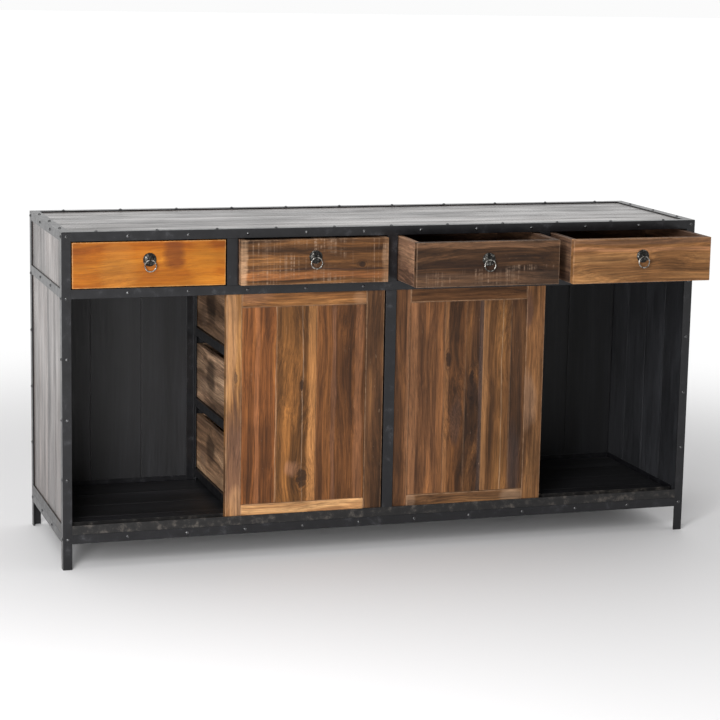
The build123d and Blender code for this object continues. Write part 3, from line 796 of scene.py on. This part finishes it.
def makePull(name, node):
    low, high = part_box(node + "_rosette")
    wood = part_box(node + "_front")[0].y
    centre = Vector(((low.x + high.x) / 2, wood, (low.z + high.z) / 2))
    radius = (high.x - low.x) / 2
    ringLow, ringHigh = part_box(node + "_ring")
    eyeY = (ringLow.y + ringHigh.y) / 2
    eye = Vector((centre.x, eyeY, ringHigh.z - pull["wire"]))

    bpy.ops.object.select_all(action="DESELECT")
    bpy.ops.mesh.primitive_circle_add(vertices=pull["sides"], radius=radius, fill_type="NGON",
                                      location=centre, rotation=(radians(90), 0, 0))
    bpy.ops.object.transform_apply(location=True, rotation=True, scale=True)
    rosette = bpy.context.object
    bpy.ops.object.mode_set(mode="EDIT")
    bpy.ops.mesh.select_all(action="SELECT")
    before = 1.0
    for ratio, rise in pull["steps"]:
        bpy.ops.mesh.extrude_region_move(TRANSFORM_OT_translate={"value": (0, -rise - 0.00001, 0)})
        bpy.ops.transform.resize(value=(ratio / before, 1, ratio / before),
                                 center_override=(centre.x, centre.y, centre.z))
        before = ratio
    bpy.ops.mesh.inset(thickness=radius * (before - pull["neck"]))
    bpy.ops.mesh.extrude_region_move(TRANSFORM_OT_translate={"value": (0, -pull["neckReach"], 0)})
    bpy.ops.mesh.select_all(action="SELECT")
    bpy.ops.mesh.normals_make_consistent(inside=False)
    bpy.ops.object.mode_set(mode="OBJECT")
    loop = addRing(eye, pull["eyeRadius"], pull["eyeWire"], (0, radians(90), 0))
    nutPlace = (centre.x, wood + pull["board"] + pull["nutThickness"] / 2, centre.z)
    bpy.ops.mesh.primitive_cylinder_add(vertices=6, radius=pull["nutAcross"] / 2 / cos(radians(30)),
                                        depth=pull["nutThickness"], location=nutPlace,
                                        rotation=(radians(90), 0, 0))
    bpy.ops.object.transform_apply(location=True, rotation=True, scale=True)
    nut = bpy.context.object
    bpy.ops.object.mode_set(mode="EDIT")
    bpy.ops.mesh.select_all(action="SELECT")
    bpy.ops.mesh.bevel(offset=pull["nutEase"], segments=pull["nutSegments"])
    bpy.ops.object.mode_set(mode="OBJECT")
    bpy.ops.object.select_all(action="DESELECT")
    for piece in (rosette, loop, nut):
        piece.select_set(True)
    bpy.context.view_layer.objects.active = rosette
    bpy.ops.object.join()
    bpy.ops.object.shade_smooth_by_angle(angle=radians(pull["smooth"]))
    rideAndName(rosette, name + "Rosette", node, [node + "_rosette"], "darkPewter")

    ring = addRing((ringLow + ringHigh) / 2, (ringHigh.x - ringLow.x) / 2 - pull["wire"], pull["wire"],
                   (radians(90), 0, 0))
    hammered = bpy.data.textures.new(name + "Hammered", "CLOUDS")
    hammered.noise_scale = pull["dents"]
    dent = ring.modifiers.new("hammered", "DISPLACE")
    dent.texture = hammered
    dent.texture_coords = "LOCAL"
    dent.strength = pull["uneven"]
    dent.mid_level = 1.0
    bpy.ops.object.modifier_apply(modifier=dent.name)
    bpy.ops.object.shade_smooth_by_angle(angle=radians(pull["ringSmooth"]))
    rideAndName(ring, name + "Ring", node + "_pull", [node + "_ring"], "pewter")


for number in range(1, len(drawerFronts) + 1):
    makePull("drawer" + str(number), "drawer_" + str(number))
for number in range(1, len(innerFronts) + 1):
    makePull("innerDrawer" + str(number), "inner_drawer_" + str(number))
print("pulls made")


# Studio: pale floor that fades to white, bright behind and above, darker in front. Turn is where the
# light from all round changes from front to behind, and tilt is how much height counts towards behind.

studio = {"floor": 120.0, "near": (0.74, 0.735, 0.74), "glow": 0.965, "fade": (0.9, 3.5), "front": 0.22,
          "tilt": 0.45, "aim": (0, 0, 0.45), "turn": (-0.35, 0.45), "behind": 1.0, "rough": 0.55,
          "shine": 0.05}
lamps = {
    "keyLight": {"place": (-2.8, -4.4, 3.2), "size": 2.4, "power": 176.0},
    "lowLight": {"place": (-2.1, -3.2, 0.85), "size": 0.9, "power": 84.0},
}


def addFloor():
    bpy.ops.object.select_all(action="DESELECT")
    bpy.ops.mesh.primitive_plane_add(size=studio["floor"], location=(0, 0, 0))
    floor = bpy.context.object
    floor.name = "studioFloor"
    material, tree, surface = newMaterial("studioFloor")
    coordinates = wire(tree, "ShaderNodeTexCoord", {}, out="Object")
    distance = wire(tree, "ShaderNodeVectorMath", {0: coordinates}, out="Value", operation="LENGTH")
    far = wire(tree, "ShaderNodeMapRange",
               {0: distance, 1: studio["fade"][0], 2: studio["fade"][1], 3: 0.0, 4: 1.0},
               interpolation_type="SMOOTHERSTEP")
    tree.links.new(blend(tree, far, rgba(studio["near"]), rgba((0, 0, 0))), surface.inputs["Base Color"])
    glow = (studio["glow"],) * 3
    tree.links.new(blend(tree, far, rgba((0, 0, 0)), rgba(glow)), surface.inputs["Emission Color"])
    surface.inputs["Emission Strength"].default_value = 1.0
    surface.inputs["Roughness"].default_value = studio["rough"]
    surface.inputs["Specular IOR Level"].default_value = studio["shine"]
    floor.data.materials.append(material)


def addLight():
    world = bpy.data.worlds.new("studioWorld")
    bpy.context.scene.world = world
    world.use_nodes = True
    tree = world.node_tree
    background = tree.nodes["Background"]
    direction = wire(tree, "ShaderNodeTexCoord", {}, out="Generated")
    split = tree.nodes.new("ShaderNodeSeparateXYZ")
    tree.links.new(direction, split.inputs[0])
    lean = calc(tree, "ADD", split.outputs[1], calc(tree, "MULTIPLY", split.outputs[2], studio["tilt"]))
    level = wire(tree, "ShaderNodeMapRange",
                 {0: lean, 1: studio["turn"][0], 2: studio["turn"][1], 3: studio["front"],
                  4: studio["behind"]},
                 interpolation_type="SMOOTHSTEP")
    tree.links.new(level, background.inputs["Color"])
    background.inputs["Strength"].default_value = studio["glow"]
    for name, lamp in lamps.items():
        data = bpy.data.lights.new(name, "AREA")
        data.size = lamp["size"]
        data.energy = lamp["power"]
        light = bpy.data.objects.new(name, data)
        bpy.context.scene.collection.objects.link(light)
        aim = (Vector(studio["aim"]) - Vector(lamp["place"])).to_track_quat("-Z", "Y")
        light.matrix_world = Matrix.Translation(lamp["place"]) @ aim.to_matrix().to_4x4()


addCamera()
addFloor()
addLight()
bpy.context.scene.view_settings.view_transform = "Standard"
print("studio made")
